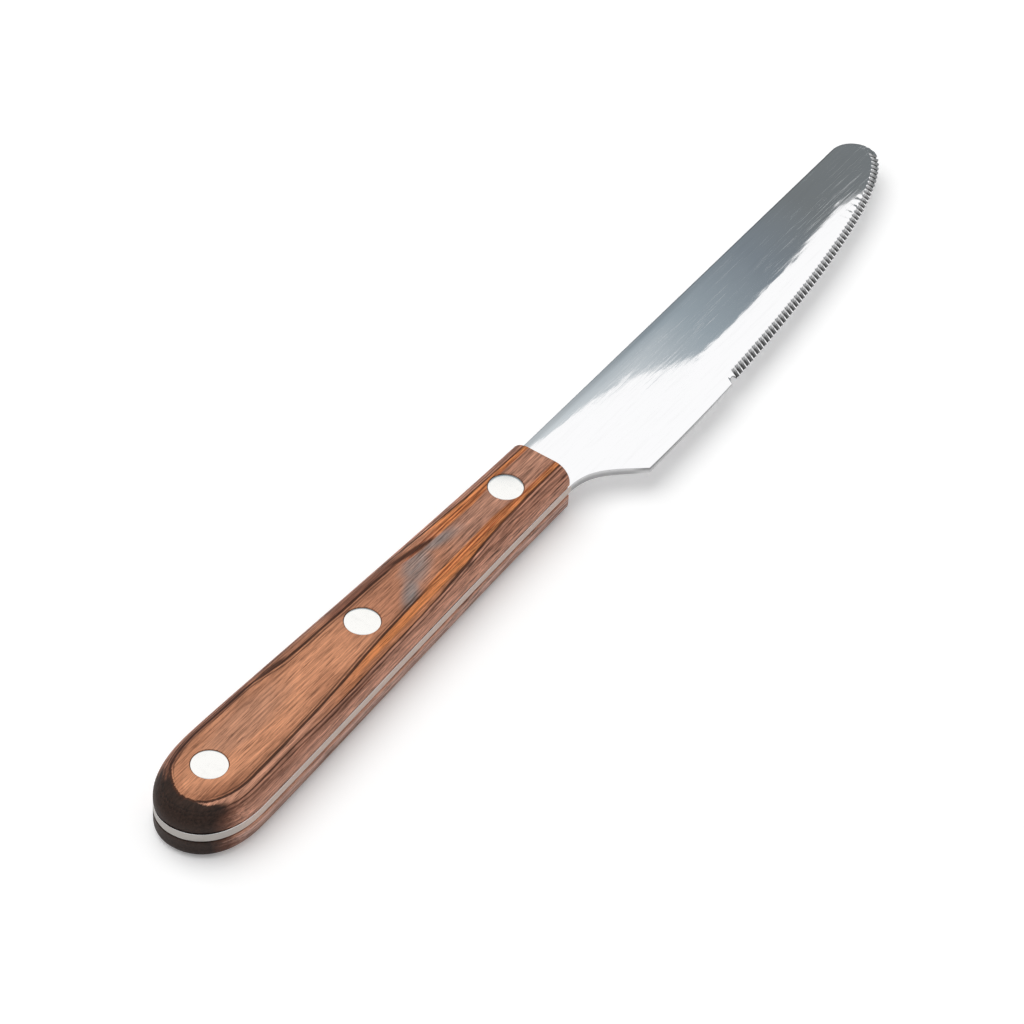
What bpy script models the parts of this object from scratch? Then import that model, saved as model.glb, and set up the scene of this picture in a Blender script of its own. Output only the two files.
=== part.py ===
"""Table knife: a serrated steel blade with a full tang between two wooden scales, held by three two-part rivets.

The knife lies flat: X runs from the butt to the tip, +Y points to the spine and Z is up through the thickness.
The origin is under the middle of the knife's box, on the surface that it lies on. Inside the parent empty, X is
measured from the butt end, Y from the handle's axis and Z from the tang's middle plane.
"""

import math

import bmesh
import bpy
import numpy as np
from mathutils import Matrix, Vector
from mathutils.geometry import interpolate_bezier

MM = 0.001

# Handle outline
HANDLE_LENGTH = 102.7 * MM
EDGE_SIDE_WIDTH = 9.2 * MM
EDGE_SIDE_ROUND = 11.9 * MM
SPINE_SIDE_WIDTH = 8.95 * MM
SPINE_SIDE_ROUND = 15.2 * MM
BUTT_FULLNESS = 0.61
BUTT_BLEND = 9.5 * MM
FRONT_HALF_WIDTH = 6.1 * MM
FRONT_BLEND = 30.0 * MM
FRONT_TAPER = 0.014
NOSE_FULLNESS = 0.55

# Handle section
TANG_THICKNESS = 1.6 * MM
SCALE_THICKNESS = 3.9 * MM
UPPER_SHOULDER_RADIUS = 3.2 * MM
LOWER_SHOULDER_RADIUS = 1.8 * MM
SEAT_GAP = 0.3 * MM

# Blade outline
BLADE_LENGTH = 109.9 * MM
NECK_LENGTH = 12.7 * MM
NECK_REACH = 6.3 * MM
HEEL_DEPTH = 14.3 * MM
HEEL_RUN = 6.8 * MM
HEEL_ANGLE = math.radians(47.0)
BELLY_REACH = 40.0 * MM
BELLY_RISE = 10.2 * MM
TIP_HEIGHT = 1.6 * MM
TIP_SPINE_HEIGHT = 6.9 * MM
TIP_CORNER_LENGTH = 5.0 * MM
TIP_FULLNESS = 0.6

# Blade section
TIP_THICKNESS = 0.9 * MM
HEEL_THICKNESS = 0.9 * MM
EDGE_THICKNESS = 0.4 * MM
HEEL_GRIND_LENGTH = 4.0 * MM
FACE_FULLNESS = 2.0
END_FLAT = 0.3 * MM

# Serrations
PLAIN_EDGE_LENGTH = 28.0 * MM
GROOVE_PITCH = 1.245 * MM
GROOVE_RADIUS = 0.48 * MM
FIRST_GULLET_RADIUS = 0.8 * MM
GROOVE_BAND = 1.9 * MM
GROOVE_SLANT = math.radians(32.0)
GROOVE_BREAKOUT = 0.1 * MM
GROOVE_OVERRUN = 0.5 * MM
PLAIN_TIP_LENGTH = 1.8 * MM

# Rivets
BUTT_RIVET_INSET = 11.4 * MM
FRONT_RIVET_INSET = 10.3 * MM
BUTT_RIVET_OFFSET = 0.85 * MM
FRONT_RIVET_OFFSET = 0.25 * MM
HEAD_DIAMETER = 6.3 * MM
HEAD_THICKNESS = 1.4 * MM
HEAD_CHAMFER = 0.15 * MM
HEAD_SINK = 0.05 * MM
SHANK_DIAMETER = 4.2 * MM
PIN_DIAMETER = 2.0 * MM

# Finishes: colour, roughness and metallic value
WOOD = ((0.30, 0.115, 0.045), 0.45, 0.0)
BLADE_STEEL = ((0.62, 0.63, 0.64), 0.25, 1.0)
RIVET_STEEL = ((0.80, 0.79, 0.77), 0.35, 1.0)

# Fineness of the curves
ROUND_STEPS = 12
SIDE_STEPS = 8
NECK_STEPS = 8
EDGE_STEPS = 24
TIP_STEPS = 8
FACE_STEPS = 6
SHOULDER_RINGS = 5
TURN_STEPS = 32
GROOVE_SIDES = 12
WELD_DISTANCE = 0.001 * MM
CUT_MARGIN = 2.0 * MM
SHARP_ANGLE = math.radians(35.0)

# Derived places
LENGTH = HANDLE_LENGTH + BLADE_LENGTH
HEEL_X = HANDLE_LENGTH + NECK_LENGTH
SPINE_END_X = LENGTH - TIP_CORNER_LENGTH
HALF_TANG = TANG_THICKNESS / 2
SEAT_HEIGHT = HALF_TANG + SEAT_GAP
FACE_HEIGHT = SEAT_HEIGHT + SCALE_THICKNESS
HEAD_TOP = FACE_HEIGHT - HEAD_SINK
HEAD_UNDERSIDE = HEAD_TOP - HEAD_THICKNESS
SPINE_REACH = max(SPINE_SIDE_WIDTH, TIP_SPINE_HEIGHT)
EDGE_REACH = max(EDGE_SIDE_WIDTH, HEEL_DEPTH)
KNIFE_PLACE = Vector((-LENGTH / 2, (EDGE_REACH - SPINE_REACH) / 2, FACE_HEIGHT))
RIVET_PITCH = (HANDLE_LENGTH - BUTT_RIVET_INSET - FRONT_RIVET_INSET) / 2
BUTT_RIVET = Vector((BUTT_RIVET_INSET, BUTT_RIVET_OFFSET, 0.0))
FRONT_RIVET = Vector((BUTT_RIVET_INSET + 2 * RIVET_PITCH, FRONT_RIVET_OFFSET, 0.0))
RIVET_PLACES = {"butt": BUTT_RIVET, "middle": (BUTT_RIVET + FRONT_RIVET) / 2, "front": FRONT_RIVET}


def clear_scene():
    for old in list(bpy.data.objects):
        bpy.data.objects.remove(old, do_unlink=True)


def new_collection(name):
    collection = bpy.data.collections.new(name)
    bpy.context.scene.collection.children.link(collection)
    return collection


def principled(name, finish):
    color, roughness, metallic = finish
    material = bpy.data.materials.new(name)
    material.use_nodes = True
    shader = material.node_tree.nodes["Principled BSDF"]
    shader.inputs["Base Color"].default_value = (*color, 1.0)
    shader.inputs["Roughness"].default_value = roughness
    shader.inputs["Metallic"].default_value = metallic
    return material


class Knife:
    """The two collections and the empty that every piece hangs on."""

    def __init__(self):
        self.parts = new_collection("table_knife")
        self.cutters = new_collection("cutters")
        self.place = bpy.data.objects.new("knife_axis", None)
        self.place.location = KNIFE_PLACE
        self.parts.objects.link(self.place)

    def add_part(self, name, mesh, finish, location=(0.0, 0.0, 0.0)):
        part = bpy.data.objects.new(name, mesh)
        part.location = location
        part.parent = self.place
        mesh.materials.append(principled(f"{name}_finish", finish))
        self.parts.objects.link(part)
        return part

    def add_cutter(self, name, mesh, location=(0.0, 0.0, 0.0)):
        cutter = bpy.data.objects.new(name, mesh)
        cutter.location = location
        cutter.parent = self.place
        cutter.hide_render = True
        cutter.display_type = "WIRE"
        self.cutters.objects.link(cutter)
        return cutter


def cut(part, cutter, crossing=False):
    """Takes the cutter's shape out of the part; crossing is for a cutter whose own bodies run into each other."""
    boolean = part.modifiers.new(f"cut_{cutter.name}", "BOOLEAN")
    boolean.operation = "DIFFERENCE"
    boolean.use_self = crossing
    boolean.object = cutter


def mesh_from(name, build):
    """A new mesh filled by build, which is given an empty bmesh."""
    mesh = bpy.data.meshes.new(name)
    shape = bmesh.new()
    build(shape)
    bmesh.ops.recalc_face_normals(shape, faces=shape.faces)
    shape.to_mesh(mesh)
    shape.free()
    return mesh


def shade_round(mesh):
    mesh.shade_smooth()
    mesh.set_sharp_from_angle(angle=SHARP_ANGLE)


# Outlines


def side_segments(width, round_length):
    """One side of the handle as curve segments from the butt end to the front, on the side of positive Y."""
    butt_end = Vector((0.0, 0.0))
    widest = Vector((round_length, width))
    front = Vector((HANDLE_LENGTH, FRONT_HALF_WIDTH))
    rounding = (
        butt_end,
        butt_end + Vector((0.0, width * BUTT_FULLNESS)),
        widest - Vector((round_length * BUTT_FULLNESS, 0.0)),
        widest,
    )
    side = (
        widest,
        widest + Vector((BUTT_BLEND, 0.0)),
        front - Vector((FRONT_BLEND, -FRONT_BLEND * FRONT_TAPER)),
        front,
    )
    return rounding, side


def mirrored(segment):
    """The same curve segment on the other side of the handle's axis."""
    return tuple(Vector((point.x, -point.y)) for point in segment)


def spine_side():
    return side_segments(SPINE_SIDE_WIDTH, SPINE_SIDE_ROUND)


def edge_side():
    return tuple(mirrored(segment) for segment in side_segments(EDGE_SIDE_WIDTH, EDGE_SIDE_ROUND))


def neck_segment():
    front = Vector((HANDLE_LENGTH, -FRONT_HALF_WIDTH))
    heel = Vector((HEEL_X, -HEEL_DEPTH))
    heel_direction = Vector((math.cos(HEEL_ANGLE), -math.sin(HEEL_ANGLE)))
    return front, front + Vector((NECK_REACH, 0.0)), heel - heel_direction * HEEL_RUN, heel


def edge_segment():
    heel = Vector((HEEL_X, -HEEL_DEPTH))
    tip = Vector((LENGTH, TIP_HEIGHT))
    return heel, heel + Vector((BELLY_REACH, 0.0)), tip - Vector((0.0, BELLY_RISE)), tip


def tip_segment():
    spine_end = Vector((SPINE_END_X, TIP_SPINE_HEIGHT))
    tip = Vector((LENGTH, TIP_HEIGHT))
    rise = Vector((0.0, (TIP_SPINE_HEIGHT - TIP_HEIGHT) * TIP_FULLNESS))
    return spine_end, spine_end + Vector((TIP_CORNER_LENGTH * TIP_FULLNESS, 0.0)), tip + rise, tip


def sampled(segment, steps):
    """The points of one curve segment, both ends included."""
    return np.array([point.to_2d() for point in interpolate_bezier(*segment, steps + 1)])


def joined(*runs):
    """Runs of points end to end, with each shared end once."""
    return np.vstack([runs[0], *(run[1:] for run in runs[1:])])


class BladeShape:
    """The lower and upper outlines of blade and tang, and the thickness between them."""

    def __init__(self):
        steps = (ROUND_STEPS, SIDE_STEPS)
        near = [sampled(segment, count) for segment, count in zip(edge_side(), steps)]
        far = [sampled(segment, count) for segment, count in zip(spine_side(), steps)]
        neck = sampled(neck_segment(), NECK_STEPS)
        tip = sampled(tip_segment(), TIP_STEPS)
        self.edge = sampled(edge_segment(), EDGE_STEPS)
        self.low = joined(*near, neck, self.edge)
        self.high = np.vstack([joined(*far), tip])
        before_tip = self.low[self.low[:, 0] < SPINE_END_X - END_FLAT, 0]
        self.stations = np.concatenate([before_tip, tip[:, 0]])

    def width_at(self, x):
        low = np.interp(x, *self.low.T)
        high = np.interp(x, *self.high.T)
        middle = (low + high) / 2
        half = max(high - low, END_FLAT) / 2
        return middle - half, middle + half

    def half_thickness(self, x, share):
        """Half the thickness at a share of the width, from 0 at the cutting edge to 1 at the spine."""
        edge_stations = [HANDLE_LENGTH, HEEL_X, HEEL_X + HEEL_GRIND_LENGTH]
        edge = np.interp(x, edge_stations, [TANG_THICKNESS, HEEL_THICKNESS, EDGE_THICKNESS]) / 2
        spine = np.interp(x, [HANDLE_LENGTH, LENGTH], [TANG_THICKNESS, TIP_THICKNESS]) / 2
        return edge + (spine - edge) * (1.0 - (1.0 - share) ** FACE_FULLNESS)

    def face_height(self, x, y):
        low, high = self.width_at(x)
        share = min(max((y - low) / (high - low), 0.0), 1.0)
        return self.half_thickness(x, share)

    def section(self, x):
        """The ring of points round the blade at one station."""
        low, high = self.width_at(x)
        shares = np.linspace(0.0, 1.0, FACE_STEPS + 1)
        upper = [(x, low + (high - low) * share, self.half_thickness(x, share)) for share in shares]
        lower = [(x, y, -z) for x, y, z in reversed(upper)]
        return upper + lower


# Pieces


def blade_mesh(shape):
    """The loft from the tang's plain plate to the tapered blade."""

    def build(blank):
        rings = [[blank.verts.new(point) for point in shape.section(x)] for x in shape.stations]
        for ring, after in zip(rings, rings[1:]):
            for index in range(len(ring)):
                back = index - 1
                blank.faces.new((ring[back], ring[index], after[index], after[back]))
        blank.faces.new(rings[0])
        blank.faces.new(rings[-1])

    return mesh_from("blade", build)


def groove_places(edge):
    """Where each groove leaves the cutting edge, with the edge's direction there."""
    steps = np.diff(edge, axis=0)
    lengths = np.hypot(*steps.T)
    travelled = np.concatenate([[0.0], np.cumsum(lengths)])
    for distance in np.arange(PLAIN_EDGE_LENGTH, travelled[-1] - PLAIN_TIP_LENGTH, GROOVE_PITCH):
        piece = np.searchsorted(travelled, distance) - 1
        share = (distance - travelled[piece]) / lengths[piece]
        yield Vector(edge[piece] + steps[piece] * share), Vector(steps[piece] / lengths[piece])


def groove_mesh(shape):
    """One slanted round cutter for each groove, which leaves the upper face at the band and the edge below it."""

    def build(cutters):
        radius = FIRST_GULLET_RADIUS
        for at_edge, along in groove_places(shape.edge):
            outward = Vector((along.y, -along.x))
            run = outward * math.cos(GROOVE_SLANT) - along * math.sin(GROOVE_SLANT)
            inner = at_edge - run * (GROOVE_BAND / math.cos(GROOVE_SLANT))
            start = inner.to_3d() + Vector((0.0, 0.0, shape.face_height(inner.x, inner.y)))
            end = at_edge.to_3d() - Vector((0.0, 0.0, EDGE_THICKNESS / 2 + GROOVE_BREAKOUT))
            axis = (end - start).normalized()
            across = axis.cross(Vector((0.0, 0.0, 1.0))).normalized()
            rise = across.cross(axis)
            center = (start + end) / 2 + rise * radius
            turn = Matrix((across, rise, axis)).transposed().to_4x4()
            bmesh.ops.create_cone(
                cutters,
                cap_ends=True,
                segments=GROOVE_SIDES,
                radius1=radius,
                radius2=radius,
                depth=(end - start).length + 2 * GROOVE_OVERRUN,
                matrix=Matrix.Translation(center) @ turn,
            )
            radius = GROOVE_RADIUS

    return mesh_from("serration_cutters", build)


def handle_curve():
    """The handle's closed outline, with a round nose past the front that the front cut takes off again."""
    far_butt, far_side = spine_side()
    near_butt, near_side = edge_side()
    nose = Vector((HANDLE_LENGTH + FRONT_HALF_WIDTH, 0.0))
    bend = FRONT_HALF_WIDTH * NOSE_FULLNESS
    far_run = (far_side[3] - far_side[2]).normalized() * bend
    near_run = (near_side[3] - near_side[2]).normalized() * bend
    knots = [
        (far_butt[0], near_butt[1], far_butt[1]),
        (far_butt[3], far_butt[2], far_side[1]),
        (far_side[3], far_side[2], far_side[3] + far_run),
        (nose, nose + Vector((0.0, bend)), nose - Vector((0.0, bend))),
        (near_side[3], near_side[3] + near_run, near_side[2]),
        (near_butt[3], near_side[1], near_butt[2]),
    ]
    curve = bpy.data.curves.new("handle_outline", "CURVE")
    curve.dimensions = "2D"
    curve.fill_mode = "BOTH"
    curve.resolution_u = ROUND_STEPS
    spline = curve.splines.new("BEZIER")
    spline.bezier_points.add(len(knots) - 1)
    spline.use_cyclic_u = True
    for knot, (point, before, after) in zip(spline.bezier_points, knots):
        knot.handle_left_type = "FREE"
        knot.handle_right_type = "FREE"
        knot.co = point.to_3d()
        knot.handle_left = before.to_3d()
        knot.handle_right = after.to_3d()
    return curve


def rounded_slab(shoulder):
    """A slab of the handle's outline and full thickness, with every outer edge rounded."""
    curve = handle_curve()
    curve.extrude = FACE_HEIGHT - shoulder
    curve.bevel_depth = shoulder
    curve.bevel_resolution = SHOULDER_RINGS
    curve.offset = -shoulder
    guide = bpy.data.objects.new("handle_outline", curve)
    bpy.context.scene.collection.objects.link(guide)
    graph = bpy.context.evaluated_depsgraph_get()
    raw = bpy.data.meshes.new_from_object(guide.evaluated_get(graph))

    def build(slab):
        slab.from_mesh(raw)
        bmesh.ops.remove_doubles(slab, verts=slab.verts, dist=WELD_DISTANCE)

    mesh = mesh_from("scale", build)
    bpy.data.objects.remove(guide, do_unlink=True)
    bpy.data.meshes.remove(raw)
    shade_round(mesh)
    return mesh


def box_mesh(name, low, high):
    low, high = Vector(low), Vector(high)

    def build(box):
        place = Matrix.Translation((low + high) / 2) @ Matrix.Diagonal((*(high - low), 1.0))
        bmesh.ops.create_cube(box, size=1.0, matrix=place)

    return mesh_from(name, build)


def add_scale(knife, name, side, shoulder, bores):
    """One half of the handle, above the tang for side 1 and below it for side -1."""
    scale = knife.add_part(name, rounded_slab(shoulder), WOOD)
    reach = Vector((LENGTH, LENGTH, LENGTH))
    inner = Vector((LENGTH, LENGTH, SEAT_HEIGHT))
    below, above = (-reach, inner) if side > 0 else (-inner, reach)
    cut(scale, knife.add_cutter(f"{name}_inner_cut", box_mesh("inner_cut", below, above)))
    front = Vector((HANDLE_LENGTH, -LENGTH, -LENGTH))
    cut(scale, knife.add_cutter(f"{name}_front_cut", box_mesh("front_cut", front, reach)))
    for bore in bores:
        cut(scale, bore)


def turned_mesh(name, profile):
    """A profile of (radius, height) points, from top to bottom down its outer side, before it is turned about Z."""

    def build(line):
        points = [line.verts.new((radius, 0.0, height)) for radius, height in profile]
        for point, after in zip(points, points[1:]):
            line.edges.new((point, after))

    return mesh_from(name, build)


def turn(piece):
    screw = piece.modifiers.new("turn", "SCREW")
    screw.axis = "Z"
    screw.steps = TURN_STEPS
    screw.render_steps = TURN_STEPS
    screw.use_merge_vertices = True
    screw.merge_threshold = WELD_DISTANCE
    screw.use_smooth_shade = True


def bore_profile():
    """The counterbores for both heads and the through hole for the shank."""
    head = HEAD_DIAMETER / 2 + SEAT_GAP
    shank = SHANK_DIAMETER / 2 + SEAT_GAP
    ledge = HEAD_UNDERSIDE - SEAT_GAP
    top = FACE_HEIGHT + CUT_MARGIN
    upper = [(0.0, top), (head, top), (head, ledge), (shank, ledge)]
    return upper + [(radius, -height) for radius, height in reversed(upper)]


def cap_profile():
    """The rivet half with a hollow shank, head upward."""
    head = HEAD_DIAMETER / 2
    shank = SHANK_DIAMETER / 2
    bore = PIN_DIAMETER / 2 + SEAT_GAP
    shank_end = SEAT_GAP - HEAD_UNDERSIDE
    return [
        (0.0, HEAD_TOP),
        (head - HEAD_CHAMFER, HEAD_TOP),
        (head, HEAD_TOP - HEAD_CHAMFER),
        (head, HEAD_UNDERSIDE),
        (shank, HEAD_UNDERSIDE),
        (shank, shank_end),
        (bore, shank_end),
        (bore, HEAD_UNDERSIDE),
        (0.0, HEAD_UNDERSIDE),
    ]


def pin_profile():
    """The rivet half with a solid pin, head downward."""
    head = HEAD_DIAMETER / 2
    pin = PIN_DIAMETER / 2
    pin_top = HEAD_UNDERSIDE - SEAT_GAP
    return [
        (0.0, pin_top),
        (pin, pin_top),
        (pin, -HEAD_UNDERSIDE),
        (head, -HEAD_UNDERSIDE),
        (head, HEAD_CHAMFER - HEAD_TOP),
        (head - HEAD_CHAMFER, -HEAD_TOP),
        (0.0, -HEAD_TOP),
    ]


def add_bores(knife):
    bores = []
    for station, place in RIVET_PLACES.items():
        bore = knife.add_cutter(f"bore_{station}", turned_mesh("bore", bore_profile()), place)
        turn(bore)
        bores.append(bore)
    return bores


def add_rivets(knife):
    for station, place in RIVET_PLACES.items():
        turn(knife.add_part(f"rivet_cap_{station}", turned_mesh("cap", cap_profile()), RIVET_STEEL, place))
        turn(knife.add_part(f"rivet_pin_{station}", turned_mesh("pin", pin_profile()), RIVET_STEEL, place))


def add_blade(knife, bores):
    shape = BladeShape()
    mesh = blade_mesh(shape)
    shade_round(mesh)
    blade = knife.add_part("blade", mesh, BLADE_STEEL)
    for bore in bores:
        cut(blade, bore)
    cut(blade, knife.add_cutter("serration_cutters", groove_mesh(shape)), crossing=True)


def main():
    clear_scene()
    knife = Knife()
    bores = add_bores(knife)
    add_blade(knife, bores)
    add_scale(knife, "upper_scale", 1, UPPER_SHOULDER_RADIUS, bores)
    add_scale(knife, "lower_scale", -1, LOWER_SHOULDER_RADIUS, bores)
    add_rivets(knife)


main()
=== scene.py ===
"""Table knife: a serrated blade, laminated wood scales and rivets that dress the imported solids.

While a piece is being built, X is measured from the butt end, Y from the handle's axis towards
the spine and Z from the tang's middle plane. The finished mesh is then shifted to its place in
the frame.
"""

import math
from functools import reduce

import bmesh
import bpy
import numpy as np
from bpy.props import FloatProperty, FloatVectorProperty, IntProperty, PointerProperty
from mathutils import Color, Matrix, Vector
from mathutils.geometry import interpolate_bezier


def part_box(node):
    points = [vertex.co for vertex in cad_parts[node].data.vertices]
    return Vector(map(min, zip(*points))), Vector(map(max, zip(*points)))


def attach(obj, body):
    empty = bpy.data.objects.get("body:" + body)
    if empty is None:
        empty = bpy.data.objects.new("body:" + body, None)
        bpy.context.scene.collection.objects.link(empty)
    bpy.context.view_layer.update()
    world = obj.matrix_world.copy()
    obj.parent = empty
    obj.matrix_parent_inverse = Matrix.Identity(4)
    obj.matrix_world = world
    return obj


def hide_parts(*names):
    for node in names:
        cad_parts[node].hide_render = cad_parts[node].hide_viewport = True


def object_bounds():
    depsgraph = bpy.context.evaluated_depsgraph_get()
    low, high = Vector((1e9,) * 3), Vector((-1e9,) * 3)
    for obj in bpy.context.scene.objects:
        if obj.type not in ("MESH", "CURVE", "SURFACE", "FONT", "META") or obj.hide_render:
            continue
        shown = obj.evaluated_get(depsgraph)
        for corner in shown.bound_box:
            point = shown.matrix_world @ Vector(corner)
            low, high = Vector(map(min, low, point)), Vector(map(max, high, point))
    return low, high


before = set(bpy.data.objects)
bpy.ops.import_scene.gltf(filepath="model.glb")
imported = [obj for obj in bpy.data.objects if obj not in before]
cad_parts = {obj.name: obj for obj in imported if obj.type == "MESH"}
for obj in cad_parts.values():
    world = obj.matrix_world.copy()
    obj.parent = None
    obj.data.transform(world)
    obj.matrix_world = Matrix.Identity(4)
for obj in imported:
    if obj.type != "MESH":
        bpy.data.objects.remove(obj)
CAD_LOW, CAD_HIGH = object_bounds()
SCALE_LOW, SCALE_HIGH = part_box("upper_scale")
BUTT_LOW, BUTT_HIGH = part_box("rivet_cap_butt")
FRONT_LOW, FRONT_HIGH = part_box("rivet_cap_front")

bl_info = {
    "name": "Table knife",
    "version": (1, 0, 0),
    "blender": (4, 5, 0),
    "location": "View3D > Sidebar > Knife",
    "description": "Builds a serrated table knife with wooden scales and rivets, on a white stage",
    "category": "Add Mesh",
}

MM = 0.001
STATIONS = ("butt", "middle", "front")
WELD = 0.001 * MM
HAIR_GAP = 0.02 * MM
ROUND_STEPS = 96
BLACK = (0.0, 0.0, 0.0, 1.0)
WHITE = (1.0, 1.0, 1.0, 1.0)
SHARP_DEGREES = {"blade_steel": 32.0, "handle_wood": 30.0, "rivet_steel": 35.0}


def length(name, description, default):
    return FloatProperty(name=name, description=description, default=default, unit="LENGTH", precision=5)


def share(name, description, default):
    return FloatProperty(name=name, description=description, default=default)


def angle(name, description, degrees):
    turn = math.radians(degrees)
    return FloatProperty(name=name, description=description, default=turn, subtype="ANGLE")


def colour(name, description, red, green, blue):
    shade = (red / 255, green / 255, blue / 255)
    return FloatVectorProperty(
        name=name, description=description, default=shade, subtype="COLOR_GAMMA", size=3
    )


class HandleSizes(bpy.types.PropertyGroup):
    """Outline and section of the handle."""

    length: length("Length", "Butt end to the front of the scales", SCALE_HIGH.x - SCALE_LOW.x)
    edge_width: length("Edge side width", "Axis to the widest place on the edge side", 9.2 * MM)
    edge_round: length("Edge side round", "Length of the butt's rounding on the edge side", 11.9 * MM)
    spine_width: length("Spine side width", "Axis to the widest place on the spine side", 8.95 * MM)
    spine_round: length("Spine side round", "Length of the butt's rounding on the spine side", 15.2 * MM)
    butt_fullness: share("Butt fullness", "How square the butt's rounding is", 0.61)
    butt_blend: length("Butt blend", "Length over which the sides leave their widest place", 9.5 * MM)
    front_width: length("Front width", "Axis to the side at the front", 6.1 * MM)
    front_blend: length("Front blend", "Length over which the sides run out to the front", 30.0 * MM)
    front_taper: share("Front taper", "Slope of the sides at the front", 0.014)
    seat: length("Seat height", "Tang's middle plane to a scale's inner face", 1.1 * MM)
    face: length("Face height", "Tang's middle plane to a scale's face", (CAD_HIGH.z - CAD_LOW.z) / 2)
    upper_shoulder: length("Upper shoulder", "Radius of the upper scale's outer edges", 3.2 * MM)
    lower_shoulder: length("Lower shoulder", "Radius of the lower scale's outer edges", 1.8 * MM)
    edge_break: length("Edge break", "Bevel on the wood's inner edges", 0.12 * MM)


class BladeSizes(bpy.types.PropertyGroup):
    """Outline, section and serration of the blade."""

    length: length("Overall length", "Butt end to the tip", CAD_HIGH.x - CAD_LOW.x)
    neck: length("Neck length", "Front of the scales to the heel", 12.7 * MM)
    neck_reach: length("Neck reach", "Length over which the neck leaves the handle's line", 6.3 * MM)
    heel_depth: length("Heel depth", "Handle's axis to the heel", 14.3 * MM)
    heel_run: length("Heel run", "Length over which the neck runs out to the heel", 6.8 * MM)
    heel_angle: angle("Heel angle", "Slope of the neck at the heel", 47.0)
    belly_reach: length("Belly reach", "Straightness of the edge behind the belly", 40.0 * MM)
    belly_rise: length("Belly rise", "Fullness of the belly below the tip", 10.2 * MM)
    tip_height: length("Tip height", "Handle's axis to the tip", 1.6 * MM)
    tip_spine: length("Tip spine height", "Handle's axis to the spine at the tip's corner", 6.9 * MM)
    tip_corner: length("Tip corner", "Length of the rounded corner at the tip", 5.0 * MM)
    tip_fullness: share("Tip fullness", "How square the tip's corner is", 0.6)
    tang_thickness: length("Tang thickness", "Thickness of the tang", 1.6 * MM)
    tip_thickness: length("Tip thickness", "Thickness of the spine at the tip", 0.9 * MM)
    heel_thickness: length("Heel thickness", "Thickness at the heel", 1.25 * MM)
    edge_thickness: length("Edge thickness", "Thickness at the cutting edge", 0.4 * MM)
    neck_full: share("Neck fullness", "Share of the neck that keeps the tang's thickness", 0.55)
    heel_grind: length("Heel grind", "Length over which the edge thins ahead of the heel", 29.0 * MM)
    grind_run: length("Grind run", "Length over which the blade's taper sets in", 47.0 * MM)
    bevel: length("Edge bevel", "Width of the bevel along the edge", 3.5 * MM)
    bevel_drop: length("Edge bevel drop", "Depth of the bevel along the serration", 0.06 * MM)
    roll: length("Spine roll", "Width of the polished roll along the spine", 2.5 * MM)
    roll_drop: length("Spine roll drop", "Depth of the roll along the spine", 0.02 * MM)
    corner: length("Corner break", "Bevel on the plate's long corners", 0.07 * MM)
    plain_edge: length("Plain edge", "Heel to the notch behind the grooves, along the edge", 28.0 * MM)
    plain_tip: length("Plain tip", "Last groove to the tip along the edge", 1.8 * MM)
    pitch: length("Groove pitch", "Step from groove to groove", 1.245 * MM)
    radius: length("Groove radius", "Radius of the grooves", 0.41 * MM)
    gullet_radius: length("Gullet radius", "Half the width of the notch behind the grooves", 0.75 * MM)
    gullet_depth: length("Gullet depth", "Depth of the notch behind the grooves", 1.2 * MM)
    band: length("Groove band", "Width of the grooved band at its start", 1.95 * MM)
    tip_band: share("Tip band", "Share of the band's width that is left at the tip", 0.72)
    slant: angle("Groove slant", "Lean of the grooves from square to the edge", 32.0)
    scallop: length("Scallop", "How far the edge steps back in a groove", 0.3 * MM)
    samples: IntProperty(name="Groove samples", description="Mesh columns from groove to groove", default=16)


class RivetSizes(bpy.types.PropertyGroup):
    """The two-part rivets."""

    head: length("Head diameter", "Diameter of a rivet's head", BUTT_HIGH.x - BUTT_LOW.x)
    thickness: length("Head thickness", "Thickness of a head at its rim", 1.4 * MM)
    dome: length("Dome", "Rise of the head's face from its rim", 0.03 * MM)
    rim: length("Rim", "Rounding of the head's rim", 0.15 * MM)
    sink: length("Sink", "How far the head's crown lies below the wood", 0.02 * MM)
    shank: length("Shank diameter", "Diameter of the shank between the heads", 4.2 * MM)
    clearance: length("Clearance", "Gap between a head and its bore", 0.08 * MM)


class WoodLook(bpy.types.PropertyGroup):
    """Colours of the laminated wood, with painted shade and painted light on it."""

    tan: colour("Tan", "Top veneer behind the middle", 202, 140, 105)
    brown: colour("Brown", "Top veneer at the middle", 174, 119, 91)
    mauve: colour("Mauve", "Top veneer towards the front", 167, 122, 101)
    smoke: colour("Smoke", "Grey patch ahead of the middle rivet", 136, 126, 122)
    haze: colour("Haze", "Dull patch between the rear rivets", 156, 120, 102)
    # Painted shade: darker patches on the edge side of the face
    edge_side_shade: colour("Toast", "Darker patches on the edge side", 132, 82, 57)
    orange: colour("Orange", "Second veneer towards the front", 212, 132, 79)
    salmon: colour("Salmon", "Second veneer towards the butt", 205, 149, 122)
    pink: colour("Pink", "Inner veneers", 208, 151, 126)
    # Painted light: the lowest veneers lightened as by light bounced up from the floor
    pale: colour("Pale", "Lowest veneers", 205, 172, 160)
    umber: colour("Umber", "Dark inner veneers", 116, 74, 58)
    bark: colour("Bark", "Darker grain beside the seams", 104, 58, 36)
    line: colour("Line", "Dark seams between veneers", 48, 25, 16)
    wine: colour("Wine", "Red seams in the second veneer", 140, 62, 30)
    end: colour("End grain", "End grain round the butt", 34, 26, 22)


class SteelLook(bpy.types.PropertyGroup):
    """Colours of the metal."""

    blade: colour("Blade", "Polished blade", 251, 251, 252)
    tang: colour("Tang", "Dull edge of the tang between the scales", 194, 178, 168)
    tang_end: colour("Tang end", "Dull edge of the tang round the butt", 168, 163, 158)
    rivet: colour("Rivet", "Polished rivets", 252, 251, 248)


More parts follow.
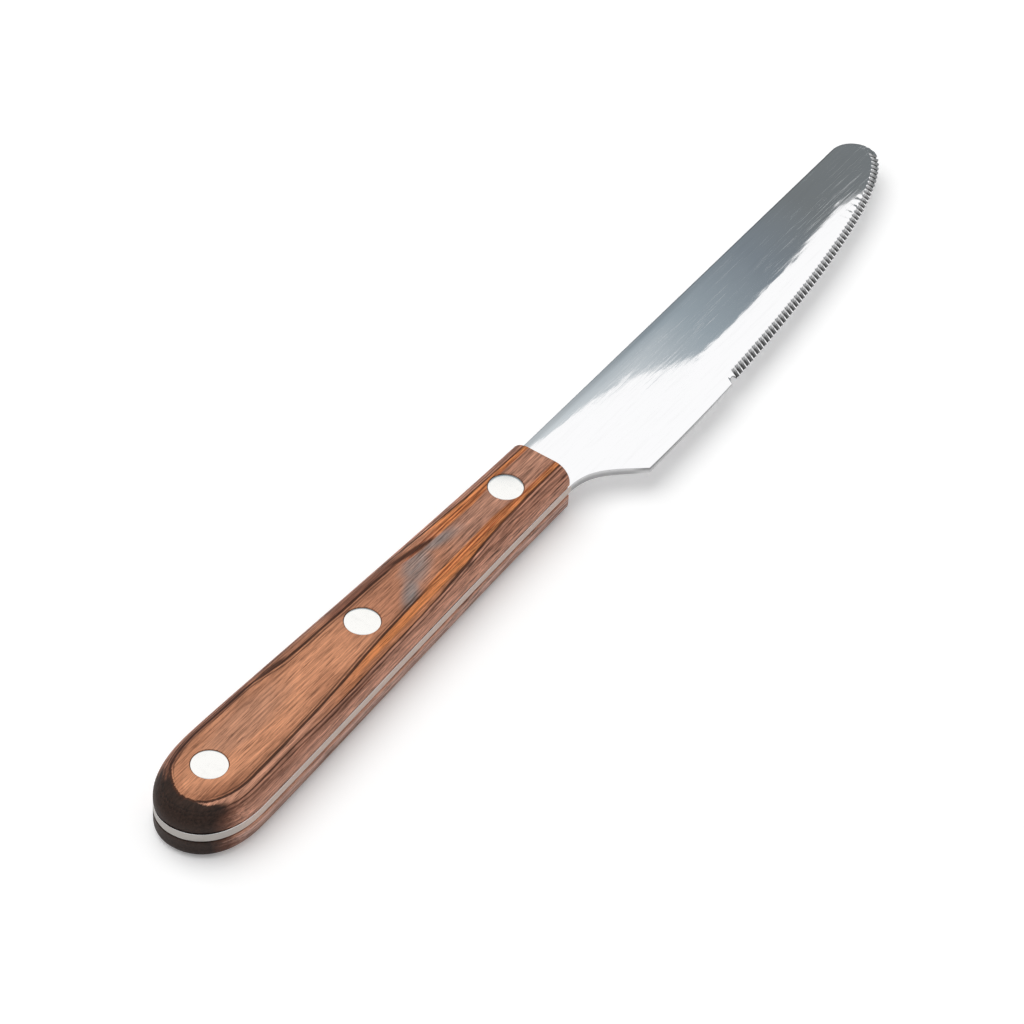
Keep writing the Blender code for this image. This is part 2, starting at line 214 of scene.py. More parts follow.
class StageLook(bpy.types.PropertyGroup):
    """Light, surroundings and view."""

    floor: share("Floor", "Diffuse white of the floor", 0.94)
    floor_reach: length("Floor reach", "Half the width of the floor", 3.0)
    floor_gap: length("Floor gap", "Gap between the knife and the floor", 0.02 * MM)
    lift: share("Lift", "Brightness that the floor adds for the viewer beside the knife", 0.18)
    lift_near: length("Lift near", "Distance from the knife where the lift starts to rise", 0.1)
    lift_far: length("Lift far", "Distance from the knife where the lift is full", 0.45)
    fill: share("Fill", "Plain light from all round", 0.4)
    key: FloatProperty(
        name="Key", description="Power of the soft box", default=10.5, subtype="POWER", unit="POWER"
    )
    box_width: length("Box width", "Width of the soft box", 1.3)
    box_depth: length("Box depth", "Depth of the soft box", 1.2)
    box_away: length("Box distance", "Knife to the soft box", 1.2)
    box_turn: angle("Box turn", "Way round the knife to the soft box, from the tip", 112.0)
    box_rise: angle("Box rise", "Height of the soft box over the floor", 69.5)
    card_away: length("Card distance", "Knife to the card that the blade mirrors", 0.9)
    card_turn: angle("Card turn", "Way round the knife to the card, from the tip", 29.0)
    card_dark: colour("Card dark", "Foot of the card", 113, 118, 120)
    card_slate: colour("Card slate", "The card above its foot", 120, 129, 136)
    card_grey: colour("Card grey", "The card's upper part", 148, 159, 166)
    card_pale: colour("Card pale", "Head of the card", 200, 206, 209)
    card_glow: share("Card glow", "Brightness of the card", 1.04)
    wall_away: length("Wall distance", "Knife to the studio's walls", 2.2)
    wall_height: length("Wall height", "Height of the studio's walls", 1.15)
    wall_low: colour("Wall low", "Foot of the studio's walls", 92, 97, 101)
    wall_high: colour("Wall high", "Top of the studio's walls", 240, 241, 242)
    ceiling_height: length("Ceiling height", "Floor to the studio's ceiling", 2.2)
    ceiling_reach: length("Ceiling reach", "Half the width of the ceiling", 0.75)
    ceiling_grey: colour("Ceiling grey", "The ceiling over the butt", 158, 164, 168)
    lens: FloatProperty(
        name="Lens", description="Focal length in millimetres", default=158.2, subtype="DISTANCE_CAMERA"
    )
    eye: FloatVectorProperty(
        name="Eye",
        description="Place of the camera",
        default=(-0.475866, -0.295465, 0.544937),
        subtype="TRANSLATION",
        unit="LENGTH",
        precision=5,
    )
    eye_turn: FloatVectorProperty(
        name="Eye turn",
        description="Turn of the camera about X, Y and Z",
        default=[math.radians(degrees) for degrees in (45.416, -2.641, -54.680)],
        subtype="EULER",
    )


def linear(shade):
    return (*Color(shade).from_srgb_to_scene_linear(), 1.0)


def operators(operation):
    """An arithmetic operator on wires and its reflected form."""

    def plain(self, other):
        return self.math(operation, self, other)

    def reflected(self, other):
        return self.math(operation, other, self)

    return plain, reflected


class Wire:
    """An output socket of a node tree. Arithmetic on it adds Math nodes."""

    def __init__(self, tree, socket=None):
        self.tree = tree
        self.socket = socket

    def make(self, kind, settings=None, inputs=None, outlet=0):
        """The outlet of a new node. Its settings are made first, then its inputs are set or linked."""
        node = self.tree.nodes.new(kind)
        for name, value in (settings or {}).items():
            setattr(node, name, value)
        for key, value in (inputs or {}).items():
            if isinstance(value, Wire):
                self.tree.links.new(value.socket, node.inputs[key])
            else:
                node.inputs[key].default_value = value
        return Wire(self.tree, node.outputs[outlet])

    def math(self, operation, *values):
        return self.make("ShaderNodeMath", {"operation": operation}, dict(enumerate(values)))

    def vector_math(self, operation, inputs, outlet=0):
        return self.make("ShaderNodeVectorMath", {"operation": operation}, inputs, outlet)

    __add__, __radd__ = operators("ADD")
    __sub__, __rsub__ = operators("SUBTRACT")
    __mul__, __rmul__ = operators("MULTIPLY")
    __truediv__, __rtruediv__ = operators("DIVIDE")

    def __abs__(self):
        return self.math("ABSOLUTE", self)

    def least(self, other):
        return self.math("MINIMUM", self, other)

    def most(self, other):
        return self.math("MAXIMUM", self, other)

    def root(self):
        return self.math("SQRT", self)

    def above(self, low, high):
        """0 below low and 1 above high, with a smooth step between them."""
        return self.make(
            "ShaderNodeMapRange",
            {"interpolation_type": "SMOOTHSTEP"},
            {"Value": self, "From Min": low, "From Max": high},
        )

    def below(self, low, high):
        return 1.0 - self.above(low, high)

    def stripe(self, centre, half, soft):
        """1 within half of the centre, falling to 0 over soft."""
        return abs(self - centre).below(half, half + soft)

    def scaled(self, scale, shift=(0.0, 0.0, 0.0), turn=(0.0, 0.0, 0.0)):
        change = {"Location": shift, "Rotation": turn, "Scale": scale}
        return self.make("ShaderNodeMapping", {}, {"Vector": self, **change})

    def noise(self, scale=1.0, detail=2.0, rough=0.5):
        pattern = {"Scale": scale, "Detail": detail, "Roughness": rough}
        return self.make("ShaderNodeTexNoise", {}, {"Vector": self, **pattern})

    def axis(self, index):
        return self.make("ShaderNodeSeparateXYZ", {}, {0: self}, index)

    def mixed(self, first, second):
        """Colours mixed by this factor."""
        return self.make("ShaderNodeMix", {"data_type": "RGBA"}, {0: self, 6: first, 7: second}, 2)

    def times(self, level):
        """This colour or vector times a level."""
        return self.vector_math("SCALE", {0: self, "Scale": level})


class KnifeShape:
    """The knife's plan curves and the blade's thickness, from the sizes in the sidebar."""

    BUTT_STEPS = 40
    SIDE_STEPS = 56
    NECK_STEPS = 28
    EDGE_STEPS = 800
    TIP_STEPS = 60

    def __init__(self, scene):
        self.handle = scene.knife_handle
        self.blade = scene.knife_blade
        self.place = Vector((CAD_LOW.x, CAD_LOW.y + self.blade.heel_depth, (CAD_LOW.z + CAD_HIGH.z) / 2))
        self.heel_x = self.handle.length + self.blade.neck
        self.near = self.side(self.handle.edge_width, self.handle.edge_round) * (1.0, -1.0)
        self.far = self.side(self.handle.spine_width, self.handle.spine_round)
        self.neck = self.neck_line()
        self.edge = self.edge_line()
        self.tip = self.tip_line()
        self.low = np.vstack([self.near, self.neck[1:], self.edge[1:]])
        self.high = np.vstack([self.far, self.tip])

    @staticmethod
    def curve(points, steps):
        return np.array([point.to_2d() for point in interpolate_bezier(*map(Vector, points), steps + 1)])

    def side(self, width, rounding):
        """One side of the handle from the butt end to the front, on the side of positive Y."""
        sizes = self.handle
        full = sizes.butt_fullness
        butt = [(0.0, 0.0), (0.0, width * full), (rounding * (1.0 - full), width), (rounding, width)]
        rise = sizes.front_width + sizes.front_blend * sizes.front_taper
        side = [
            (rounding, width),
            (rounding + sizes.butt_blend, width),
            (sizes.length - sizes.front_blend, rise),
            (sizes.length, sizes.front_width),
        ]
        return np.vstack([self.curve(butt, self.BUTT_STEPS), self.curve(side, self.SIDE_STEPS)[1:]])

    def neck_line(self):
        sizes = self.blade
        front = Vector((self.handle.length, -self.handle.front_width))
        heel = Vector((self.heel_x, -sizes.heel_depth))
        run = Vector((math.cos(sizes.heel_angle), -math.sin(sizes.heel_angle))) * sizes.heel_run
        leave = front + Vector((sizes.neck_reach, 0.0))
        return self.curve([front, leave, heel - run, heel], self.NECK_STEPS)

    def edge_line(self):
        sizes = self.blade
        heel = Vector((self.heel_x, -sizes.heel_depth))
        tip = Vector((sizes.length, sizes.tip_height))
        leave = heel + Vector((sizes.belly_reach, 0.0))
        meet = tip - Vector((0.0, sizes.belly_rise))
        return self.curve([heel, leave, meet, tip], self.EDGE_STEPS)

    def tip_line(self):
        sizes = self.blade
        corner = Vector((sizes.length - sizes.tip_corner, sizes.tip_spine))
        tip = Vector((sizes.length, sizes.tip_height))
        run = Vector((sizes.tip_corner * sizes.tip_fullness, 0.0))
        rise = Vector((0.0, (sizes.tip_spine - sizes.tip_height) * sizes.tip_fullness))
        return self.curve([corner, corner + run, tip + rise, tip], self.TIP_STEPS)

    def half_thickness(self, x, y):
        """Half the plate's thickness at arrays of places, with a round grind and an edge bevel."""
        sizes = self.blade
        front = self.handle.length
        low = np.interp(x, *self.low.T)
        high = np.interp(x, *self.high.T)
        part = np.clip((y - low) / np.maximum(high - low, WELD), 0.0, 1.0)
        spine = np.interp(x, [front, sizes.length], [sizes.tang_thickness, sizes.tip_thickness]) / 2
        ground = smooth_step((x - front) / sizes.grind_run)
        foot = spine - (spine - sizes.edge_thickness / 2 - sizes.bevel_drop) * ground
        full = front + sizes.neck * sizes.neck_full
        stations = [full, self.heel_x, self.heel_x + sizes.heel_grind]
        rims = [sizes.tang_thickness, sizes.heel_thickness, sizes.edge_thickness]
        rim = np.interp(x, stations, rims) / 2
        bevel = np.maximum(foot - rim, 0.0) * np.clip(1.0 - (y - low) / sizes.bevel, 0.0, 1.0) ** 2
        roll = sizes.roll_drop * np.clip(1.0 - (high - y) / sizes.roll, 0.0, 1.0) ** 2 * (x > front)
        return foot + (spine - foot) * (1.0 - (1.0 - part) ** 2) - bevel - roll

    def rivet_places(self):
        """Where the rivets stand, from the frame's own rivets."""
        butt = (BUTT_LOW + BUTT_HIGH) / 2 - self.place
        front = (FRONT_LOW + FRONT_HIGH) / 2 - self.place
        places = {"butt": butt, "middle": (butt + front) / 2, "front": front}
        return [Vector((places[name].x, places[name].y, 0.0)) for name in STATIONS]


def smooth_step(values):
    part = np.clip(values, 0.0, 1.0)
    return part * part * (3.0 - 2.0 * part)


def unit(rows):
    """Each row as a direction of length 1."""
    return rows / np.hypot(*rows.T)[:, None]


def travel(line):
    """The way along a line of points to each of them."""
    return np.concatenate([[0.0], np.cumsum(np.hypot(*np.diff(line, axis=0).T))])


def along_line(ways, travelled, values):
    """The values that a line has at the given ways along it."""
    return np.column_stack([np.interp(ways, travelled, column) for column in values.T])


def grid_mesh(name, grid, values=None, ring=True, turned=False, capped=False):
    """A welded mesh over a grid of points. Ring closes its columns, turned its rows, capped its end."""
    rows, columns = grid.shape[:2]
    index = np.arange(rows * columns).reshape(rows, columns)
    beside = np.roll(index, -1, axis=1)
    above, corner = np.roll(index, -1, axis=0), np.roll(beside, -1, axis=0)
    quads = np.stack([index, beside, corner, above], axis=-1)
    quads = quads if turned else quads[:-1]
    quads = quads if ring else quads[:, :-1]
    faces = quads.reshape(-1, 4).tolist()
    if capped:
        faces.append(index[-1].tolist())
    mesh = bpy.data.meshes.new(name)
    mesh.from_pydata(grid.reshape(-1, 3).tolist(), [], faces)
    for key, field in (values or {}).items():
        kind, entry = ("FLOAT_VECTOR", "vector") if field.ndim == 3 else ("FLOAT", "value")
        layer = mesh.attributes.new(key, kind, "POINT")
        layer.data.foreach_set(entry, field.astype(np.float32).ravel())
    shape = bmesh.new()
    shape.from_mesh(mesh)
    bmesh.ops.remove_doubles(shape, verts=shape.verts, dist=WELD)
    bmesh.ops.dissolve_degenerate(shape, edges=shape.edges, dist=WELD)
    bmesh.ops.recalc_face_normals(shape, faces=shape.faces)
    shape.to_mesh(mesh)
    shape.free()
    return mesh


def turned_mesh(name, profile):
    """A profile of (radius, height) points turned about Z."""
    turn = np.linspace(0.0, math.tau, ROUND_STEPS, endpoint=False)[:, None]
    radius, height = np.array(profile).T
    level = np.zeros_like(turn) + height
    grid = np.stack([np.cos(turn) * radius, np.sin(turn) * radius, level], axis=-1)
    return grid_mesh(name, grid, ring=False, turned=True)


def new_object(name, mesh):
    piece = bpy.data.objects.new(name, mesh)
    bpy.context.scene.collection.objects.link(piece)
    return piece


def square_mesh(name, reach, height):
    """One level square face round the origin."""
    corners = [(-reach, -reach), (reach, -reach), (reach, reach), (-reach, reach)]
    mesh = bpy.data.meshes.new(name)
    mesh.from_pydata([(x, y, height) for x, y in corners], [], [(0, 1, 2, 3)])
    return mesh


def plain_mesh(name, source, *tools):
    """The source's mesh after its modifiers. The source and its tools are then removed."""
    graph = bpy.context.evaluated_depsgraph_get()
    result = bpy.data.meshes.new_from_object(
        source.evaluated_get(graph), preserve_all_data_layers=True, depsgraph=graph
    )
    for used in (source, *tools):
        bpy.data.objects.remove(used, do_unlink=True)
    result.name = name
    return result


def through_nodes(name, mesh, tree, inputs):
    """The mesh after a node tree whose inputs are set by name."""
    source = new_object(f"{name}_source", mesh)
    modifier = source.modifiers.new(tree.name, "NODES")
    modifier.node_group = tree
    items = [item for item in tree.interface.items_tree if item.in_out == "INPUT"]
    sockets = {item.name: item.identifier for item in items}
    for key, value in inputs.items():
        modifier[sockets[key]] = value
    return plain_mesh(name, source)


def drilled(name, mesh, cutter, places):
    """The mesh with the cutter's shape taken out at each place."""
    source = new_object(f"{name}_source", mesh)
    tools = []
    for station, place in zip(STATIONS, places):
        tool = new_object(f"{name}_bore_{station}", cutter)
        tool.location = place
        boolean = source.modifiers.new(station, "BOOLEAN")
        boolean.operation = "DIFFERENCE"
        boolean.solver = "EXACT"
        boolean.object = tool
        tools.append(tool)
    return plain_mesh(name, source, *tools)


def finish_piece(name, mesh, material, shape, slot, replaced):
    """Puts a mesh at the knife's place as a piece that stands for the named solids."""
    mesh.transform(Matrix.Translation(shape.place))
    mesh.shade_smooth()
    mesh.set_sharp_from_angle(angle=math.radians(SHARP_DEGREES[slot]))
    mesh.materials.clear()
    mesh.materials.append(material)
    piece = new_object(name, mesh)
    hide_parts(*replaced)
    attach(piece, "root")


def new_material(name):
    material = bpy.data.materials.new(name)
    material.use_nodes = True
    tree = material.node_tree
    shader = tree.nodes["Principled BSDF"]
    return material, Wire(tree), shader


def feed(wire, shader, **sockets):
    """Links wires to the shader's sockets and sets its plain values."""
    for name, value in sockets.items():
        socket = shader.inputs[name.replace("_", " ")]
        if isinstance(value, Wire):
            wire.tree.links.new(value.socket, socket)
        else:
            socket.default_value = value


def stored(wire, name):
    """A value that the mesh carries."""
    return wire.make("ShaderNodeAttribute", {"attribute_name": name}, {}, "Fac")


def object_place(wire):
    return wire.make("ShaderNodeTexCoord", {}, {}, "Object")


def knife_place(wire, shape):
    """Places in millimetres from the butt end, the handle's axis and the tang's middle plane."""
    return object_place(wire).scaled((1.0 / MM,) * 3, tuple(-shape.place / MM))


# In the materials a plain number is a place or a size on the knife in mm, a noise scale per mm,
# or a share from 0 to 1. A patch has its centre and half its sizes in mm and its turn in degrees.
FACE_BANDS = (("brown", 42.0, 60.0, 1.0), ("mauve", 68.0, 82.0, 1.0), ("salmon", 78.0, 96.0, 0.22))
FACE_PATCHES = (
    ("haze", 0.4, ((22.0, 2.2), (13.0, 3.8), 0.0, 0.35)),
    # The two patches on the edge side are painted shade
    ("edge_side_shade", 0.3, ((37.0, -3.0), (5.0, 1.8), 4.0, 0.6)),
    ("edge_side_shade", 0.55, ((8.0, -4.4), (7.0, 2.4), -20.0, 0.6)),
)
SMOKE_PATCHES = (
    ((68.0, 1.4), (6.5, 2.6), 28.0, 0.55),
    ((62.0, -2.0), (5.5, 1.8), 32.0, 0.55),
    ((74.5, 1.9), (5.5, 1.5), -12.0, 0.55),
)
DARK_WEDGES = (((70.0, 3.6), (6.5, 0.65), -11.0, 0.35), ((34.0, 6.0), (4.5, 0.6), -6.0, 0.35))
PATCH_EDGE = 0.8
HAIR_TURN = math.radians(2.0)
TARNISH = 0.93


class Grain:
    """Fields that the wood is coloured with, in millimetres on the knife."""

    def __init__(self, wire, shape):
        self.place = knife_place(wire, shape)
        self.x = self.place.axis(0)
        self.y = self.place.axis(1)
        self.z = self.place.axis(2)
        self.fibre = self.place.scaled((0.13, 2.6, 2.6)).noise(1.0, 4.0, 0.7)
        self.strands = self.place.scaled((0.25, 5.0, 5.0)).noise(1.0, 3.0, 0.6)
        self.wobble = self.place.scaled((0.16, 0.9, 0.9)).noise(1.0, 4.0, 0.65) - 0.5
        self.front = self.x.above(61.0, 71.0)
        self.far = self.y.above(-0.6, 0.6)
        self.butt = self.x.below(4.0, 8.0)
        wander = self.place.scaled((0.05, 0.12, 0.12)).noise(1.0, 2.0) - 0.5
        ragged = self.place.scaled((0.11, 1.9, 1.9)).noise(1.0, 4.0, 0.6) - 0.5
        teeth = self.place.scaled((0.35, 2.6, 2.6)).noise(1.0, 3.0) - 0.5
        self.depth = stored(wire, "girth") + wander * 0.45 + ragged * 0.45 + teeth * self.butt * 0.8

    def patch(self, centre, reach, turn, soft):
        """A ragged oval round a centre, turned by degrees, with a soft rim."""
        slope = math.radians(turn)
        x = self.x - centre[0]
        y = self.y - centre[1]
        along = (x * math.cos(slope) + y * math.sin(slope)) / reach[0]
        across = (y * math.cos(slope) - x * math.sin(slope)) / reach[1]
        away = (along * along + across * across).root() + self.wobble * 0.9
        return away.below(PATCH_EDGE - soft, PATCH_EDGE + soft)

    def patches(self, places):
        return reduce(Wire.most, [self.patch(*place) for place in places])

    def layers(self, shift):
        """Places for noise drawn out along the handle, that changes from veneer to veneer."""
        spread = {0: self.x * 0.018, 1: self.depth, 2: self.far * shift}
        return self.depth.make("ShaderNodeCombineXYZ", {}, spread)

    def seam(self):
        """Depth of the seam under the top veneer, round the near side, the far side and the butt."""
        near = 0.35 - self.x.above(27.0, 58.0) * 0.77 - self.x.below(4.0, 14.0) * 0.5
        far = 1.15 - self.x.above(28.0, 38.0) * 0.95
        side = near + (far - near) * self.far
        return side - (side + 0.1) * self.butt

    def rim(self):
        """Depth of the seam under the second veneer."""
        return 1.75 + self.x.above(22.0, 32.0) * 0.4 - self.x.above(58.0, 88.0) * 1.25


def face_veneer(grain, shade):
    """The top veneer, with its dull and grey patches and painted shade on the edge side."""
    wood = shade["tan"]
    for name, start, end, strength in FACE_BANDS:
        wood = (grain.x.above(start, end) * strength).mixed(wood, shade[name])
    for name, strength, place in FACE_PATCHES:
        wood = (grain.patch(*place) * strength).mixed(wood, shade[name])
    grey = grain.patches(SMOKE_PATCHES) * (0.85 + grain.wobble)
    return grey.mixed(wood, shade["smoke"])


def side_veneers(grain, shade, wood):
    """The second veneer at the face's rim and the thin ones that come out below it."""
    depth, front = grain.depth, grain.front
    second = grain.x.above(24.0, 50.0).mixed(shade["salmon"], shade["orange"])
    second = (grain.far * grain.x.below(72.0, 80.0)).mixed(second, shade["brown"])
    dull = depth.above(0.9, 1.5) * grain.x.stripe(58.0, 12.0, 8.0) * 0.55
    second = dull.mixed(second, shade["mauve"])
    red = depth.stripe(-0.6, 0.04, 0.16).most(depth.stripe(-0.05, 0.03, 0.14)) * front
    second = (red * 0.8).mixed(second, shade["wine"])
    seam = grain.seam()
    border = seam + (grain.x.above(84.0, 96.0) * 0.9 - 1.1 - seam) * front
    wood = depth.above(border - 0.25, border + 0.25).mixed(wood, second)
    rim = grain.rim()
    inner = grain.layers(9.0).noise(2.3, 4.0, 0.7).above(0.3, 0.52).mixed(shade["umber"], shade["pink"])
    wood = depth.above(rim - 0.12, rim + 0.12).mixed(wood, inner)
    wood = (depth.above(3.6, 4.8) * 0.4).mixed(wood, shade["pink"])
    # Painted light: the lower scale lightened as by light bounced up from the floor
    wood = (grain.z.below(-2.2, -1.2) * 0.7).mixed(wood, shade["pale"])
    beside = (depth.stripe(-0.3, 0.9, 0.6) * 0.25).most(depth.stripe(2.3, 0.8, 0.7) * 0.4)
    beside = beside * (1.0 - grain.x.stripe(62.0, 12.0, 10.0) * 0.6)
    wood = beside.mixed(wood, shade["bark"])
    dark = grain.x.stripe(58.0, 7.0, 5.0).most(grain.x.stripe(17.0, 9.0, 6.0) * depth.above(0.4, 0.9))
    shoulder = grain.far * depth.above(-0.1, 0.5) * depth.below(1.2, 3.2) * grain.z.above(1.0, 2.0)
    return (shoulder * dark * 0.9).mixed(wood, shade["umber"])


def wood_seams(grain):
    """Strength of the dark seams, wedges and fine lines between the veneers."""
    depth, seam, rim = grain.depth, grain.seam(), grain.rim()
    rear = 1.0 - grain.front
    seams = depth.stripe(seam, 0.06 + grain.fibre * 0.18, 0.18) * rear
    seams = seams.most(depth.stripe(seam - 0.6, 0.04, 0.2) * rear * (1.0 - grain.butt) * 0.75)
    seams = seams.most(depth.stripe(rim, 0.05 + grain.front * 0.08, 0.16) * 0.95)
    seams = seams.most(depth.stripe(rim + 0.62, 0.06, 0.14) * 0.7)
    fine = grain.layers(5.0).noise(4.6, 3.0, 0.6).above(0.55, 0.65) * depth.above(-0.9, -0.2)
    seams = seams.most(grain.patches(DARK_WEDGES) * 0.92)
    return seams.most(fine * (0.32 + grain.x.above(86.0, 98.0) * 0.35))


def butt_grain(grain, shade, wood):
    """End grain round the butt, nearly black on the spine side and brown on the edge side."""
    near = grain.y.below(-5.0, -2.0)
    brink = grain.seam() + near * 0.7
    streaks = grain.place.scaled((0.12, 0.12, 2.4)).noise(1.0, 3.0, 0.7) - 0.5
    cut = (grain.x + streaks * 9.0).below(4.5, 8.5) * grain.depth.above(brink, brink + 0.3)
    end = grain.y.above(-9.0, -6.0).mixed(shade["umber"], shade["end"])
    return (cut * 0.97).mixed(wood, end)


def handle_wood(scene, shape):
    """Laminated wood: a patchy top veneer, and thinner veneers that come out round the shoulders."""
    look = scene.knife_wood
    shade = {name: linear(getattr(look, name)) for name in WoodLook.__annotations__}
    material, wire, shader = new_material("handle_wood")
    grain = Grain(wire, shape)
    wood = side_veneers(grain, shade, face_veneer(grain, shade))
    seams = wood_seams(grain)
    wood = (seams * 0.92).mixed(wood, shade["line"])
    wood = butt_grain(grain, shade, wood)
    dark = grain.strands.above(0.52, 0.7)
    wood = (dark * 0.6).mixed(wood, shade["line"])
    wood = wood.times((grain.fibre - 0.5) * (2.8 + grain.front * 1.6) + 1.05)
    relief = grain.fibre * 0.02 - dark * 0.015 - seams * 0.02
    bump = wire.make("ShaderNodeBump", {}, {"Distance": MM, "Height": relief})
    rough = 0.46 + grain.fibre * 0.18
    feed(wire, shader, Base_Color=wood, Roughness=rough, Normal=bump, Specular_IOR_Level=0.16)
    return material


def below_spine(x, y, shape):
    """How far a place lies from the straight line of the blade's spine."""
    start = (shape.handle.length / MM, shape.handle.front_width / MM)
    end = shape.high[-len(shape.tip)] / MM
    slope = (end[1] - start[1]) / (end[0] - start[0])
    return (x - start[0]) * slope + start[1] - y


def wall_shade(x, y, z):
    """How much painted shade darkens the plate's narrow sides: deepest along the neck, the heel and the
    plain edge.
    """
    neck = x.below(113.0, 115.0)
    heel = z.above(-0.4, 0.6) * 0.35 + 0.23
    shade = heel * (1.0 - neck) + (z.below(-0.3, 0.7) * 0.26 + 0.2) * neck
    return 0.2 + x.below(144.4, 145.2) * y.below(-5.0, -3.0) * shade


def blade_steel(scene, shape):
    """Polished steel with lengthwise grinding marks and rougher narrow sides, with painted shade in the
    grooves, on the ridges, along the spine and on the narrow sides.
    """
    material, wire, shader = new_material("blade_steel")
    look = scene.knife_steel
    place = knife_place(wire, shape)
    x, y, z = (place.axis(index) for index in range(3))
    wall = stored(wire, "wall")
    groove = stored(wire, "groove")
    front = shape.handle.length / MM
    ahead = x.above(front, front + 1.0)
    flank = y.above(-4.5, -1.0) * x.above(124.0, 140.0)
    marks = place.scaled((0.09, 1.7, 1.7)).noise(1.0, 4.0, 0.65)
    smears = place.scaled((0.045, 0.2, 0.2)).noise(1.0, 3.0, 0.55)
    hairs = place.scaled((0.09, 6.0, 6.0), turn=(0.0, 0.0, HAIR_TURN)).noise().above(0.52, 0.76)
    ripples = wire.math("SINE", x * math.pi) * x.stripe(195.5, 4.0, 2.0) * y.below(-5.6, -3.6)
    below = below_spine(x, y, shape)
    # Painted shade: a thin dark line along the spine and a darker band over its polished roll
    roll = below.below(0.5, 1.7) * x.below(140.0, 175.0) * 0.2
    spine = (below.below(0.12, 0.4) * 0.4).most(roll) * ahead
    grooved = groove.above(0.01, 0.1)
    marks_and_painted_shade = 1.06 - marks * 0.12 + (smears - 0.5) * 0.1 * flank
    marks_and_painted_shade = marks_and_painted_shade * (1.0 - spine)
    # Painted shade: darker where the grooves are pressed in, darkest in their deep cores, and a painted grey
    # on the ridges
    marks_and_painted_shade = marks_and_painted_shade * (1.0 - grooved * 0.55) * (1.0 - groove.above(0.18, 0.36) * 0.84)
    # Painted shade on the plate's narrow sides ahead of the handle
    marks_and_painted_shade = marks_and_painted_shade * (1.0 - wall * ahead * wall_shade(x, y, z))
    tang = x.above(4.0, 11.0).mixed(linear(look.tang_end), linear(look.tang))
    tint = (wall * (1.0 - ahead)).mixed(linear(look.blade), tang)
    tint = marks_and_painted_shade.mixed(BLACK, tint)
    rough = 0.02 + hairs * (0.02 + flank * 0.09) + grooved * 0.2
    rough = rough + (0.36 - rough) * wall
    relief = marks * (0.00035 + x.below(138.0, 152.0) * 0.00065) + smears * 0.008 + ripples * 0.0024
    bump = wire.make("ShaderNodeBump", {}, {"Distance": MM, "Height": relief})
    feed(wire, shader, Base_Color=tint, Roughness=rough, Normal=bump, Metallic=1.0)
    return material


def rivet_steel(scene, shape):
    """Bright polished steel with faint turning marks."""
    material, wire, shader = new_material("rivet_steel")
    place = knife_place(wire, shape)
    marks = place.scaled((0.8, 7.0, 7.0)).noise(1.0, 3.0, 0.6)
    tarnish = place.scaled((0.7, 0.7, 0.7)).noise(1.0, 3.0, 0.6)
    base = linear(scene.knife_steel.rivet)
    dull = (*(value * TARNISH for value in base[:3]), 1.0)
    tint = tarnish.above(0.45, 0.9).mixed(base, dull)
    bump = wire.make("ShaderNodeBump", {}, {"Strength": 0.03, "Distance": 0.01 * MM, "Height": marks})
    feed(wire, shader, Base_Color=tint, Roughness=0.07 + marks * 0.05, Normal=bump, Metallic=1.0)
    return material


SERRATION_SIZES = ("Gullet", "Last groove", "Pitch", "Radius", "Gullet radius", "Gullet depth")
SERRATION_SIZES += ("Slant", "Half edge", "Scallop")
BLADE_FIELDS = ("along", "level", "upper", "reach", "brink")
LEAN_FIELD = "run"
RUNOUT_POWER = 3.0
# Painted grey on the ridges between the grooves, given as a groove depth in mm
RIDGE_SHADE = 0.055


